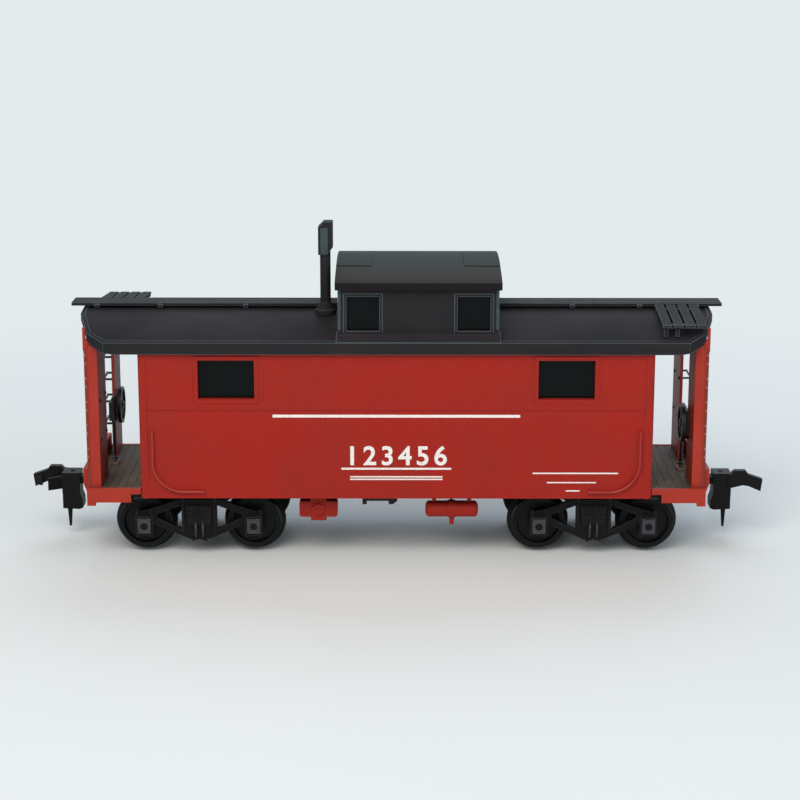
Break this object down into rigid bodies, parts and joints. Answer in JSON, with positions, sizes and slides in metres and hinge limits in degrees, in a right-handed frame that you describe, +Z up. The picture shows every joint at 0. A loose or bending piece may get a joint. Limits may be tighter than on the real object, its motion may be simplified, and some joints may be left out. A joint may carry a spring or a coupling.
{
  "type": "model railway caboose",
  "caption": "Four-axle model caboose with arched roof, raised cupola, end platforms, swivelling leaf-sprung trucks, turning wheels and brake wheels, and swinging hook couplers.",
  "frame": {"origin": "middle of the car at the lowest point of the wheel flanges", "axes": "+X along the car towards the end farther from the smokejack, +Y across it away from the brake valve, +Z up"},
  "size_m": [0.1318, 0.0326, 0.0584],
  "materials": {
    "body_red": "satin",
    "end_red": "satin",
    "door_red": "satin",
    "rail_red": "satin",
    "roof_black": "satin",
    "glazing": "gloss",
    "deck_wood": "matte",
    "frame_black": "satin",
    "fitting_black": "satin",
    "coupler_black": "satin",
    "truck_black": "satin",
    "wheel_black": "satin",
    "axle_steel": "satin",
    "weight_steel": "satin",
    "screw_steel": "satin"
  },
  "bodies": {
    "car_body": {"body_shell": "body_red", "control_valve": "body_red", "air_reservoir": "body_red", "platform_sill_left": "end_red", "end_frame_left": "end_red", "platform_sill_right": "end_red", "end_frame_right": "end_red", "end_door_left": "door_red", "end_door_right": "door_red", "side_handrails": "rail_red", "main_roof": "roof_black", "cupola_shell": "roof_black", "cupola_roof": "roof_black", "smokejack": "roof_black", "running_board_left": "roof_black", "lateral_walk_left": "roof_black", "running_board_right": "roof_black", "lateral_walk_right": "roof_black", "side_window_glazing": "glazing", "cupola_side_glazing": "glazing", "cupola_end_glazing": "glazing", "door_glazing": "glazing", "deck_left": "deck_wood", "deck_right": "deck_wood", "underframe": "frame_black", "brake_cylinder": "frame_black", "brake_lever_bracket": "frame_black", "coupler_box_left": "frame_black", "coupler_lid_left": "frame_black", "coupler_box_right": "frame_black", "coupler_lid_right": "frame_black", "brake_stand_left": "fitting_black", "ladder_rungs_left": "fitting_black", "grab_irons_left": "fitting_black", "brake_stand_right": "fitting_black", "ladder_rungs_right": "fitting_black", "grab_irons_right": "fitting_black", "steel_weight": "weight_steel", "king_pin_screws": "screw_steel", "lid_screws": "screw_steel"},
    "truck_left": {"truck_bolster_left": "truck_black", "truck_sideframe_left_front": "truck_black", "truck_sideframe_left_back": "truck_black"},
    "wheelset_left_outer": {"axle_left_outer": "axle_steel", "wheels_left_outer": "wheel_black"},
    "wheelset_left_inner": {"axle_left_inner": "axle_steel", "wheels_left_inner": "wheel_black"},
    "coupler_left": {"coupler_left": "coupler_black"},
    "brake_wheel_left": {"brake_wheel_left": "fitting_black"},
    "truck_right": {"truck_bolster_right": "truck_black", "truck_sideframe_right_front": "truck_black", "truck_sideframe_right_back": "truck_black"},
    "wheelset_right_outer": {"axle_right_outer": "axle_steel", "wheels_right_outer": "wheel_black"},
    "wheelset_right_inner": {"axle_right_inner": "axle_steel", "wheels_right_inner": "wheel_black"},
    "coupler_right": {"coupler_right": "coupler_black"},
    "brake_wheel_right": {"brake_wheel_right": "fitting_black"}
  },
  "joints": [
    {"name": "truck_swivel_left", "type": "hinge", "parent": "car_body", "child": "truck_left", "pos_m": [-0.0347, 0, 0.00975], "axis": [0, 0, 1], "range_deg": [-12, 12]},
    {"name": "wheelset_left_outer_spin", "type": "hinge", "parent": "truck_left", "child": "wheelset_left_outer", "pos_m": [-0.04433, 0, 0.00545], "axis": [0, 1, 0], "continuous": true},
    {"name": "wheelset_left_inner_spin", "type": "hinge", "parent": "truck_left", "child": "wheelset_left_inner", "pos_m": [-0.02508, 0, 0.00545], "axis": [0, 1, 0], "continuous": true},
    {"name": "coupler_swing_left", "type": "hinge", "parent": "car_body", "child": "coupler_left", "pos_m": [-0.0505, 0, 0.01064], "axis": [0, 0, 1], "range_deg": [-8, 8], "stiffness_Nm_per_rad": 0.0001},
    {"name": "brake_wheel_left_spin", "type": "hinge", "parent": "car_body", "child": "brake_wheel_left", "pos_m": [-0.05035, 0.0066, 0.02275], "axis": [1, 0, 0], "continuous": true},
    {"name": "truck_swivel_right", "type": "hinge", "parent": "car_body", "child": "truck_right", "pos_m": [0.0347, 0, 0.00975], "axis": [0, 0, 1], "range_deg": [-12, 12]},
    {"name": "wheelset_right_outer_spin", "type": "hinge", "parent": "truck_right", "child": "wheelset_right_outer", "pos_m": [0.04433, 0, 0.00545], "axis": [0, 1, 0], "continuous": true},
    {"name": "wheelset_right_inner_spin", "type": "hinge", "parent": "truck_right", "child": "wheelset_right_inner", "pos_m": [0.02508, 0, 0.00545], "axis": [0, 1, 0], "continuous": true},
    {"name": "coupler_swing_right", "type": "hinge", "parent": "car_body", "child": "coupler_right", "pos_m": [0.0505, 0, 0.01064], "axis": [0, 0, 1], "range_deg": [-8, 8], "stiffness_Nm_per_rad": 0.0001},
    {"name": "brake_wheel_right_spin", "type": "hinge", "parent": "car_body", "child": "brake_wheel_right", "pos_m": [0.05035, -0.0066, 0.02275], "axis": [1, 0, 0], "continuous": true}
  ]
}
